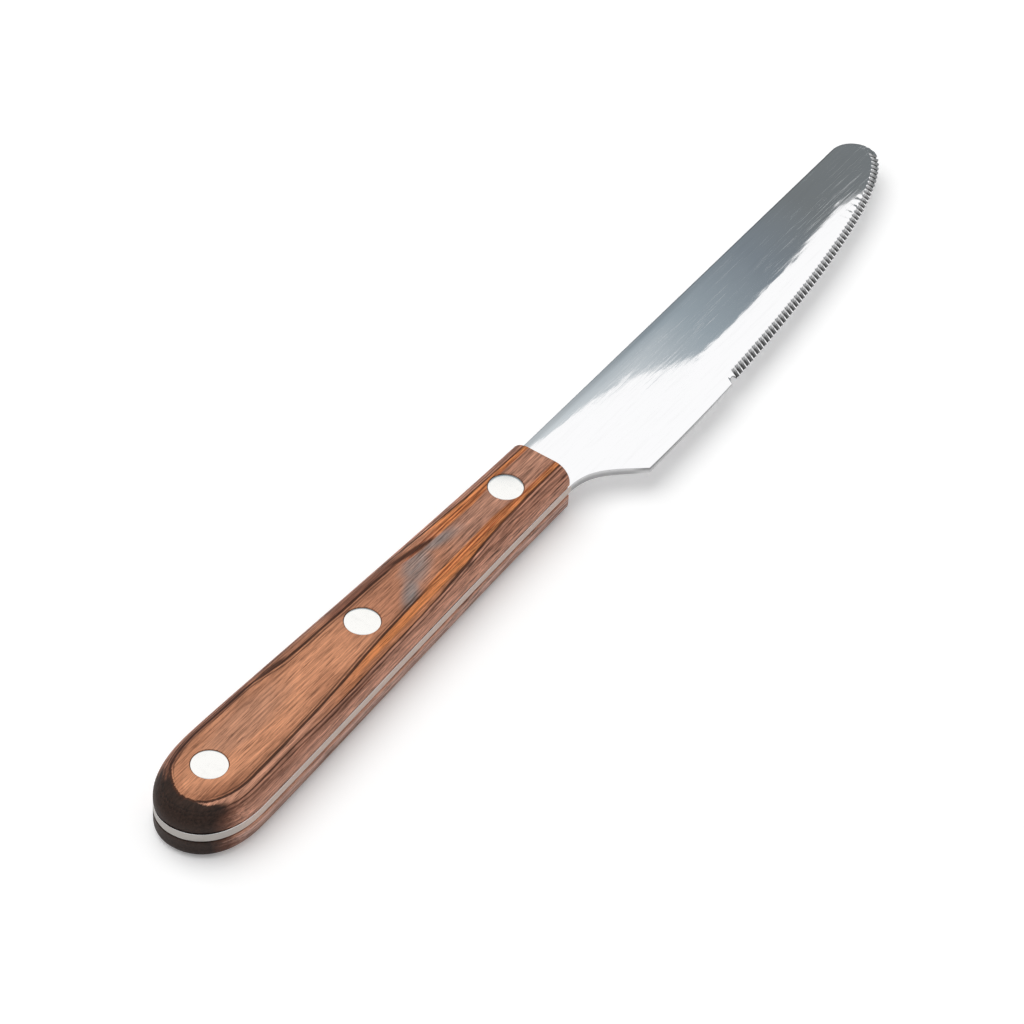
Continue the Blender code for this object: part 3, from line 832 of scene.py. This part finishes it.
class BladeGrid:
    """Points over the whole blade: cross lines from the edge side to the spine side, on both faces."""

    BAND_ROWS = 10
    FACE_ROWS = 13
    GUARD_ROW = 0.008
    PLAIN_STEP = 0.6 * MM
    KEENEST = 0.25

    def __init__(self, shape):
        self.shape = shape
        self.sizes = shape.blade
        self.band = self.sizes.band / math.cos(self.sizes.slant)
        tang = self.plain_lines(shape.near)
        neck = self.plain_lines(shape.neck[1:-1])
        edge = self.edge_lines()
        self.lines = [np.concatenate(parts) for parts in zip(tang, neck, edge)]

    def plain_lines(self, starts):
        """Lines square to the handle's axis, from each start to the other side."""
        count = len(starts)
        high = np.interp(starts[:, 0], *self.shape.high.T)
        ends = np.column_stack([starts[:, 0], high])
        run = np.tile((0.0, 1.0), (count, 1))
        reach = np.minimum(self.band, (high - starts[:, 1]) / 4)
        return starts, ends, run, reach, np.full(count, -1.0)

    def edge_lines(self):
        """Lines that leave the cutting edge with the grooves' slant and end along the spine and tip."""
        sizes, edge = self.sizes, self.shape.edge
        travelled = travel(edge)
        total = travelled[-1]
        fine = sizes.pitch / sizes.samples
        first = sizes.plain_edge - 2 * sizes.gullet_radius
        plain = np.arange(0.0, first, self.PLAIN_STEP)
        along = np.concatenate([plain, np.arange(first, total - fine / 2, fine), [total]])
        starts = along_line(along, travelled, edge)
        tangent = along_line(along, travelled, unit(np.gradient(edge, travelled, axis=0)))
        inward = np.column_stack([-tangent[:, 1], tangent[:, 0]])
        lean = sizes.slant * smooth_step((along - first / 2) / (first / 2))[:, None]
        run = inward * np.cos(lean) + tangent * np.sin(lean)
        narrowing = 1.0 - (1.0 - sizes.tip_band) * smooth_step((along - first) / (total - first))
        reach = self.band * narrowing * np.clip((total - along) / self.band, 0.0, 1.0)
        above_heel = (self.shape.heel_x, np.interp(self.shape.heel_x, *self.shape.high.T))
        spine = np.vstack([above_heel, self.shape.tip])
        spine_travelled = travel(spine)
        ends = along_line(along / total * spine_travelled[-1], spine_travelled, spine)
        return starts, ends, run, reach, along

    def mesh(self):
        starts, ends, run, reach, along = self.lines
        rows = np.linspace(0.0, 1.0, self.BAND_ROWS + 1)[None, :, None]
        turn = starts + run * reach[:, None]
        inner = np.linspace(0.0, 1.0, self.FACE_ROWS + 1)
        inner[0] = self.GUARD_ROW
        inner = inner[None, :, None]
        band = starts[:, None] + rows * (turn - starts)[:, None]
        face = turn[:, None] + inner * (ends - turn)[:, None]
        plan = np.concatenate([band, face], axis=1)
        height = self.shape.half_thickness(plan[..., 0], plan[..., 1])
        plan, height = self.broken_corners(plan, height, along)
        height[-1] = height[-1].min()
        count = plan.shape[1]
        upper = np.concatenate([plan, height[..., None]], axis=-1)
        lower = upper[:, ::-1] * (1.0, 1.0, -1.0)
        grid = np.concatenate([upper, lower], axis=1)
        level = np.concatenate([[0.0], rows.ravel(), np.full(count - self.BAND_ROWS - 2, 2.0)])
        level = np.concatenate([level, level[::-1]])
        side = np.concatenate([np.ones(count), np.zeros(count)])
        size = (len(starts), 2 * count)
        wall = np.zeros(size)
        wall[:, [0, count - 1, count, -1]] = 1.0
        wall[[0, -1]] = 1.0
        brink = self.shape.half_thickness(*turn.T)
        lean = np.concatenate([run, np.zeros((len(run), 1))], axis=1)
        values = {
            "along": np.broadcast_to(along[:, None], size),
            "level": np.broadcast_to(level[None], size),
            "upper": np.broadcast_to(side[None], size),
            "wall": wall,
            "reach": np.broadcast_to(reach[:, None], size),
            "brink": np.broadcast_to(brink[:, None], size),
            LEAN_FIELD: np.broadcast_to(lean[:, None], (*size, 3)),
        }
        return grid_mesh("blade_blank", grid, values)

    def broken_corners(self, plan, height, along):
        """Both ends of each line with a small bevel on the plate's corners."""
        thinning = np.clip(1.0 - along / self.sizes.heel_grind, self.KEENEST, 1.0)
        keen = np.where(along < 0.0, 1.0, thinning)[:, None]
        first, last = plan[:, :1], plan[:, -1:]
        span = last - first
        reach = np.maximum(np.linalg.norm(span, axis=-1), WELD)
        cut = np.minimum(self.sizes.corner, reach * 0.1)
        start_cut = cut * keen
        start = first + span * (start_cut / reach)[..., None]
        end = last - span * (cut / reach)[..., None]
        new_plan = np.concatenate([first, start, plan[:, 1:-1], end, last], axis=1)
        edge_height, spine_height = height[:, :1], height[:, -1:]
        sunk_edge = edge_height - np.minimum(start_cut, edge_height * 0.5)
        sunk_spine = spine_height - np.minimum(cut, spine_height * 0.5)
        heights = [sunk_edge, edge_height, height[:, 1:-1], spine_height, sunk_spine]
        return new_plan, np.concatenate(heights, axis=1)


def open_tree(name, kinds):
    """Wires from the inputs of a new geometry tree: its geometry, the named ones and its material."""
    tree = bpy.data.node_groups.new(name, "GeometryNodeTree")
    kinds = {"Geometry": "Geometry", **kinds, "Material": "Material"}
    for label, kind in kinds.items():
        tree.interface.new_socket(label, in_out="INPUT", socket_type=f"NodeSocket{kind}")
    tree.interface.new_socket("Geometry", in_out="OUTPUT", socket_type="NodeSocketGeometry")
    entry = tree.nodes.new("NodeGroupInput")
    return {label: Wire(tree, entry.outputs[label]) for label in kinds}


def close_tree(shaped, material):
    """The geometry tree, ended with real instances and the material."""
    whole = shaped.make("GeometryNodeRealizeInstances", {}, {0: shaped})
    finished = shaped.make("GeometryNodeSetMaterial", {}, {0: whole, "Material": material})
    leave = shaped.tree.nodes.new("NodeGroupOutput")
    shaped.tree.links.new(finished.socket, leave.inputs[0])
    return shaped.tree


def serration_tree():
    """Presses slanted round grooves into the upper face behind a notch, scallops the edge and stores painted
    shade for the grooves and the ridges between them.
    """
    entry = open_tree("serration", dict.fromkeys(SERRATION_SIZES, "Float"))
    first, last, pitch, radius, gullet_radius, gullet_depth, slant, half_edge, scallop = (
        entry[name] for name in SERRATION_SIZES
    )
    wire = entry["Geometry"]

    def field(name, kind="FLOAT"):
        return wire.make("GeometryNodeInputNamedAttribute", {"data_type": kind}, {"Name": name})

    along, level, upper, reach, brink = (field(name) for name in BLADE_FIELDS)
    run = field(LEAN_FIELD, "FLOAT_VECTOR")
    height = wire.make("GeometryNodeInputPosition").axis(2)
    squeeze = slant.math("COSINE", slant)
    number = wire.math("ROUND", (along - first) / pitch)
    top = wire.math("FLOOR", (last - first) / pitch)
    centre = first + number.most(1.0).least(top) * pitch

    def arc(middle, size):
        """Share of a round notch's depth at a place, and whether the place lies in the notch."""
        off = (along - middle) * squeeze / size
        return (1.0 - off * off).most(0.0).root(), wire.math("LESS_THAN", abs(off), 1.0)

    dip, in_groove = arc(centre, radius)
    notch, in_gullet = arc(first, gullet_radius)
    in_band = wire.math("LESS_THAN", level, 1.5)
    pressing = in_groove * (1.0 - in_gullet) * upper * in_band
    back = (dip * scallop * in_groove).most(notch * gullet_depth)
    distance = level * reach
    moved = distance + back * (1.0 - level)
    runout = wire.math("POWER", (moved / reach.most(WELD)).least(1.0), RUNOUT_POWER)
    groove = radius * (1.0 - dip) - half_edge + runout * (half_edge + brink)
    pressed = height.least(groove).most(HAIR_GAP - height)
    new_height = height + (pressed - height) * pressing
    shift = (moved - distance) * in_band
    drop = wire.make("ShaderNodeCombineXYZ", {}, {2: new_height - height})
    offset = wire.vector_math("ADD", {0: run.times(shift), 1: drop})
    # Painted shade for the steel: the grooves' depth in mm, and a grey on the ridges between them
    ridge_shade_mask = level.above(0.25, 0.45) * level.below(0.88, 1.0) * upper * along.above(first, first + pitch)
    shade = ((height - new_height) / MM).most(ridge_shade_mask * RIDGE_SHADE)
    marked = wire.make(
        "GeometryNodeStoreNamedAttribute",
        {"data_type": "FLOAT", "domain": "POINT"},
        {0: wire, "Name": "groove", "Value": shade},
    )
    shaped = wire.make("GeometryNodeSetPosition", {}, {"Geometry": marked, "Offset": offset})
    return close_tree(shaped, entry["Material"])


def rivet_tree():
    """Stands one rivet half at each point."""
    entry = open_tree("rivet_row", {"Rivet half": "Object"})
    wire = entry["Geometry"]
    half = wire.make("GeometryNodeObjectInfo", {}, {"Object": entry["Rivet half"]}, "Geometry")
    row = wire.make("GeometryNodeInstanceOnPoints", {}, {"Points": wire, "Instance": half})
    return close_tree(row, entry["Material"])


SHOULDER_POINTS = 15
FACE_POINTS = 19
OUTLINE_STEP = 0.1
DOME_POINTS = 9
RIM_POINTS = 6


def scale_mesh(shape, side, shoulder):
    """One wooden half of the handle, above the tang for side 1 and below it for side -1."""
    sizes = shape.handle
    arc = np.linspace(0.0, math.pi / 2, SHOULDER_POINTS)
    wall = [(sizes.edge_break, sizes.seat), (0.0, sizes.seat + sizes.edge_break)]
    wall += [(shoulder * (1.0 - math.cos(a)), sizes.face - shoulder * (1.0 - math.sin(a))) for a in arc]
    inset, height = np.array(wall).T

    def offset(line, turn):
        slope = unit(np.gradient(line, axis=0))
        inward = np.column_stack([-slope[:, 1], slope[:, 0]]) * turn
        inward[0] = (1.0, 0.0)
        places = line[:, None] + inward[:, None] * inset[None, :, None]
        places[-1, :, 0] = sizes.length
        return places

    near, far = offset(shape.near, 1.0), offset(shape.far, -1.0)
    across = np.linspace(0.0, 1.0, FACE_POINTS)[None, 1:-1, None]
    flat = near[:, -1:] + across * (far[:, -1:] - near[:, -1:])
    plan = np.concatenate([near, flat, far[:, ::-1]], axis=1)
    level = np.concatenate([height, np.full(flat.shape[1], sizes.face), height[::-1]])
    rise = np.broadcast_to(level[None, :, None] * side, (*plan.shape[:2], 1))
    return grid_mesh("scale", np.concatenate([plan, rise], axis=-1), capped=True)


def add_girth(mesh, shape, shoulder):
    """Stores the way over the wood from the rim of its flat face, in mm and outwards."""
    sizes = shape.handle
    points = np.empty(len(mesh.vertices) * 3)
    mesh.vertices.foreach_get("co", points)
    points = points.reshape(-1, 3)
    steps = np.arange(0.0, 1.0, OUTLINE_STEP)[:, None, None]
    sides = [line[:-1] + np.diff(line, axis=0) * steps for line in (shape.near, shape.far)]
    outline = np.vstack([side.reshape(-1, 2) for side in sides])
    gap = np.array([np.hypot(*(outline - point[:2]).T).min() for point in points])
    drop = sizes.face - np.abs(points[:, 2])
    bend = shoulder * np.arccos(np.clip(1.0 - drop / shoulder, 0.0, 1.0))
    girth = np.where(gap > shoulder, shoulder - gap, bend + np.maximum(drop - shoulder, 0.0))
    layer = mesh.attributes.new("girth", "FLOAT", "POINT")
    layer.data.foreach_set("value", (girth / MM).astype(np.float32))


def bore_mesh(rivets, handle):
    """The hole for a rivet: bores for the heads at both ends and the shank's hole between them."""
    head = rivets.head / 2 + rivets.clearance
    shank = rivets.shank / 2 + rivets.clearance
    ledge = handle.face - rivets.sink - rivets.dome - rivets.thickness - rivets.clearance
    top = handle.face * 2
    upper = [(0.0, top), (head, top), (head, ledge), (shank, ledge)]
    lower = [(radius, -height) for radius, height in reversed(upper)]
    return turned_mesh("bore", upper + lower)


def rivet_mesh(rivets, handle, side):
    """One rivet half: a slightly domed head with a rounded rim, and a shank to the middle plane."""
    head = rivets.head / 2
    crown = handle.face - rivets.sink
    rim_top = crown - rivets.dome
    inner = head - rivets.rim
    steps = np.linspace(0.0, 1.0, DOME_POINTS)
    profile = [(inner * step, crown - rivets.dome * step * step) for step in steps]
    turn = np.linspace(0.0, math.pi / 2, RIM_POINTS)[1:]
    drop = rivets.rim * (1.0 - np.cos(turn))
    profile += list(zip(inner + rivets.rim * np.sin(turn), rim_top - drop))
    under = rim_top - rivets.thickness
    shank = rivets.shank / 2
    profile += [(head, under), (shank, under), (shank, HAIR_GAP), (0.0, HAIR_GAP)]
    return turned_mesh("rivet_half", [(radius, height * side) for radius, height in profile])


class KNIFE_OT_blade(bpy.types.Operator):
    """Builds the blade with its tang and serration"""

    bl_idname = "knife.blade"
    bl_label = "Blade"

    def execute(self, context):
        scene = context.scene
        shape = KnifeShape(scene)
        sizes = shape.blade
        grid = BladeGrid(shape)
        material = blade_steel(scene, shape)
        total = float(grid.lines[4].max())
        inputs = {
            "Gullet": sizes.plain_edge,
            "Last groove": total - sizes.plain_tip,
            "Pitch": sizes.pitch,
            "Radius": sizes.radius,
            "Gullet radius": sizes.gullet_radius,
            "Gullet depth": sizes.gullet_depth,
            "Slant": sizes.slant,
            "Half edge": sizes.edge_thickness / 2,
            "Scallop": sizes.scallop,
            "Material": material,
        }
        ground = through_nodes("blade_ground", grid.mesh(), serration_tree(), inputs)
        bore = bore_mesh(scene.knife_rivets, shape.handle)
        mesh = drilled("knife_blade", ground, bore, shape.rivet_places())
        for layer in (*BLADE_FIELDS, LEAN_FIELD):
            mesh.attributes.remove(mesh.attributes[layer])
        finish_piece("knife_blade", mesh, material, shape, "blade_steel", ["blade"])
        return {"FINISHED"}


class KNIFE_OT_scales(bpy.types.Operator):
    """Builds the two wooden scales"""

    bl_idname = "knife.scales"
    bl_label = "Scales"

    def execute(self, context):
        scene = context.scene
        shape = KnifeShape(scene)
        material = handle_wood(scene, shape)
        bore = bore_mesh(scene.knife_rivets, shape.handle)
        sides = {
            "upper_scale": (1, shape.handle.upper_shoulder),
            "lower_scale": (-1, shape.handle.lower_shoulder),
        }
        for node, (side, shoulder) in sides.items():
            mesh = drilled(f"wood_{node}", scale_mesh(shape, side, shoulder), bore, shape.rivet_places())
            add_girth(mesh, shape, shoulder)
            finish_piece(f"wood_{node}", mesh, material, shape, "handle_wood", [node])
        return {"FINISHED"}


class KNIFE_OT_rivets(bpy.types.Operator):
    """Builds the row of rivets on both sides of the handle"""

    bl_idname = "knife.rivets"
    bl_label = "Rivets"

    def execute(self, context):
        scene = context.scene
        shape = KnifeShape(scene)
        material = rivet_steel(scene, shape)
        for half, side in (("cap", 1), ("pin", -1)):
            tool = new_object(f"rivet_{half}_shape", rivet_mesh(scene.knife_rivets, shape.handle, side))
            row = bpy.data.meshes.new("rivet_row")
            row.from_pydata(shape.rivet_places(), [], [])
            inputs = {"Rivet half": tool, "Material": material}
            mesh = through_nodes(f"rivet_{half}s", row, rivet_tree(), inputs)
            bpy.data.objects.remove(tool, do_unlink=True)
            replaced = [f"rivet_{half}_{station}" for station in STATIONS]
            finish_piece(f"rivet_{half}s", mesh, material, shape, "rivet_steel", replaced)
        return {"FINISHED"}


def seen_by_viewer(wire):
    """1 for rays that show the surroundings to the viewer, straight or by way of metal or glass."""
    seen = 0.0
    for kind in ("Camera", "Glossy", "Transmission"):
        seen = seen + wire.make("ShaderNodeLightPath", {}, {}, f"Is {kind} Ray")
    return seen.least(1.0)


# Corners of the card in metres, along it and up from the floor
CARD_OUTLINE = [(0.5, 0.842), (0.058, 0.838), (0.038, 0.826), (0.021, 0.821), (0.009, 0.813)]
CARD_OUTLINE += [(-0.01, 0.8145), (-0.032, 0.816), (-0.046, 0.819), (-0.0545, 0.8125), (-0.0725, 0.769)]
CARD_OUTLINE += [(-0.0845, 0.741), (-0.095, 0.7185), (-0.6, 0.712), (-0.6, 0.02), (0.5, 0.02)]
# Heights in metres between which the card turns to its next grey, and their rise on the edge side
CARD_STEPS = ((0.65, 0.70, "card_slate"), (0.70, 0.765, "card_grey"), (0.765, 0.83, "card_pale"))
CARD_SLOPE = 0.92
# Shares of the ceiling's reach between which it turns pale
CEILING_FADE = (-0.8, 0.6)
SENSOR_WIDTH = 36.0
NEAREST_VIEW = 0.01


class KNIFE_OT_stage(bpy.types.Operator):
    """Builds the white floor, the soft light, the studio that polished metal mirrors and the camera"""

    bl_idname = "knife.stage"
    bl_label = "Stage"

    def execute(self, context):
        scene = context.scene
        look = scene.knife_stage
        self.floor(look)
        self.world(scene, look)
        self.soft_box(look)
        self.card(look)
        self.walls(look)
        self.ceiling(look)
        self.camera(scene, look)
        return {"FINISHED"}

    def floor(self, look):
        """A white floor that looks brighter to the viewer with the distance from the knife."""
        material, wire, shader = new_material("floor")
        away = wire.vector_math("LENGTH", {0: object_place(wire)}, "Value")
        rise = away.above(look.lift_near, look.lift_far) * (1.0 - look.lift)
        lift = seen_by_viewer(wire) * (look.lift + rise)
        tone = wire.make("ShaderNodeCombineColor", {}, {0: lift, 1: lift, 2: lift})
        white = (look.floor, look.floor, look.floor, 1.0)
        feed(wire, shader, Base_Color=white, Roughness=1.0, Specular_IOR_Level=0.0)
        feed(wire, shader, Emission_Color=tone, Emission_Strength=1.0)
        mesh = square_mesh("floor", look.floor_reach, CAD_LOW.z - look.floor_gap)
        mesh.materials.append(material)
        new_object("floor", mesh)

    def world(self, scene, look):
        """Plain light from all round, and white for the viewer."""
        world = bpy.data.worlds.new("studio")
        world.use_nodes = True
        scene.world = world
        tree = world.node_tree
        strength = look.fill + seen_by_viewer(Wire(tree)) * (1.0 - look.fill)
        feed(strength, tree.nodes["Background"], Color=WHITE, Strength=strength)

    def soft_box(self, look):
        """A wide lamp over the spine side, which polished metal doesn't mirror."""
        light = bpy.data.lights.new("soft_box", "AREA")
        light.shape = "RECTANGLE"
        light.size = look.box_width
        light.size_y = look.box_depth
        light.energy = look.key
        lamp = new_object("soft_box", light)
        aim = Vector((math.cos(look.box_turn), math.sin(look.box_turn), 0.0)) * math.cos(look.box_rise)
        aim.z = math.sin(look.box_rise)
        lamp.location = aim * look.box_away
        lamp.rotation_euler = aim.to_track_quat("Z", "Y").to_euler()
        lamp.visible_glossy = False

    def card(self, look):
        """The grey card that the spine side of the blade mirrors."""
        ahead = Vector((math.cos(look.card_turn), math.sin(look.card_turn), 0.0))
        across = Vector((-ahead.y, ahead.x, 0.0))
        points = [ahead * look.card_away + across * u + Vector((0.0, 0.0, v)) for u, v in CARD_OUTLINE]
        mesh = bpy.data.meshes.new("card")
        mesh.from_pydata(points, [], [tuple(range(len(points)))])
        self.hang("card", mesh, lambda place: self.card_paint(look, across, place), look.card_glow)

    def card_paint(self, look, across, place):
        """Grey that turns paler up the card and darker towards its edge side, as the blade's tones do."""
        aside = place.vector_math("DOT_PRODUCT", {0: place, 1: across}, "Value")
        rise = place.axis(2) + aside.least(0.0) * CARD_SLOPE
        paint = linear(look.card_dark)
        for low, high, shade in CARD_STEPS:
            span = {"Value": rise, "From Min": low, "From Max": high}
            part = place.make("ShaderNodeMapRange", {}, span)
            paint = part.mixed(paint, linear(getattr(look, shade)))
        return paint

    def walls(self, look):
        """Low grey walls all round, which polished metal mirrors when it is seen from the side."""
        mesh = turned_mesh("walls", [(look.wall_away, CAD_LOW.z), (look.wall_away, look.wall_height)])
        low, high = linear(look.wall_low), linear(look.wall_high)
        self.hang("walls", mesh, lambda place: (place.axis(2) / look.wall_height).mixed(low, high))

    def ceiling(self, look):
        """A ceiling, greyer over the butt, which polished metal mirrors when it is seen from above."""
        mesh = square_mesh("ceiling", look.ceiling_reach, look.ceiling_height)
        start, end = (part * look.ceiling_reach for part in CEILING_FADE)
        grey, pale = linear(look.ceiling_grey), linear(look.wall_high)
        self.hang("ceiling", mesh, lambda place: place.axis(0).above(start, end).mixed(grey, pale))

    def hang(self, name, mesh, paint, strength=1.0):
        """Puts up a glowing surface of the studio that shows in polished metal alone."""
        material, wire, shader = new_material(name)
        feed(wire, shader, Base_Color=BLACK, Specular_IOR_Level=0.0)
        feed(wire, shader, Emission_Color=paint(object_place(wire)), Emission_Strength=strength)
        mesh.materials.append(material)
        surface = new_object(name, mesh)
        for kind in ("camera", "diffuse", "transmission", "volume_scatter", "shadow"):
            setattr(surface, f"visible_{kind}", False)

    def camera(self, scene, look):
        """The photograph's view."""
        data = bpy.data.cameras.new("camera")
        data.sensor_width = SENSOR_WIDTH
        data.lens = look.lens
        data.clip_start = NEAREST_VIEW
        eye = new_object("camera", data)
        eye.location = look.eye
        eye.rotation_euler = look.eye_turn
        scene.camera = eye
        scene.view_settings.view_transform = "Standard"


class KNIFE_PT_sidebar(bpy.types.Panel):
    """Buttons that build the knife and its stage"""

    bl_idname = "KNIFE_PT_sidebar"
    bl_label = "Table knife"
    bl_space_type = "VIEW_3D"
    bl_region_type = "UI"
    bl_category = "Knife"

    def draw(self, context):
        for step in STEPS:
            self.layout.operator(step.bl_idname)


GROUPS = {
    "knife_handle": HandleSizes,
    "knife_blade": BladeSizes,
    "knife_rivets": RivetSizes,
    "knife_wood": WoodLook,
    "knife_steel": SteelLook,
    "knife_stage": StageLook,
}
STEPS = (KNIFE_OT_blade, KNIFE_OT_scales, KNIFE_OT_rivets, KNIFE_OT_stage)


def register():
    for group in GROUPS.values():
        bpy.utils.register_class(group)
    for name, group in GROUPS.items():
        setattr(bpy.types.Scene, name, PointerProperty(type=group))
    for step in STEPS:
        bpy.utils.register_class(step)
    bpy.utils.register_class(KNIFE_PT_sidebar)


def unregister():
    bpy.utils.unregister_class(KNIFE_PT_sidebar)
    for step in reversed(STEPS):
        bpy.utils.unregister_class(step)
    for name, group in reversed(GROUPS.items()):
        delattr(bpy.types.Scene, name)
        bpy.utils.unregister_class(group)


def main():
    register()
    bpy.ops.knife.blade()
    bpy.ops.knife.scales()
    bpy.ops.knife.rivets()
    bpy.ops.knife.stage()


if __name__ == "__main__":
    main()
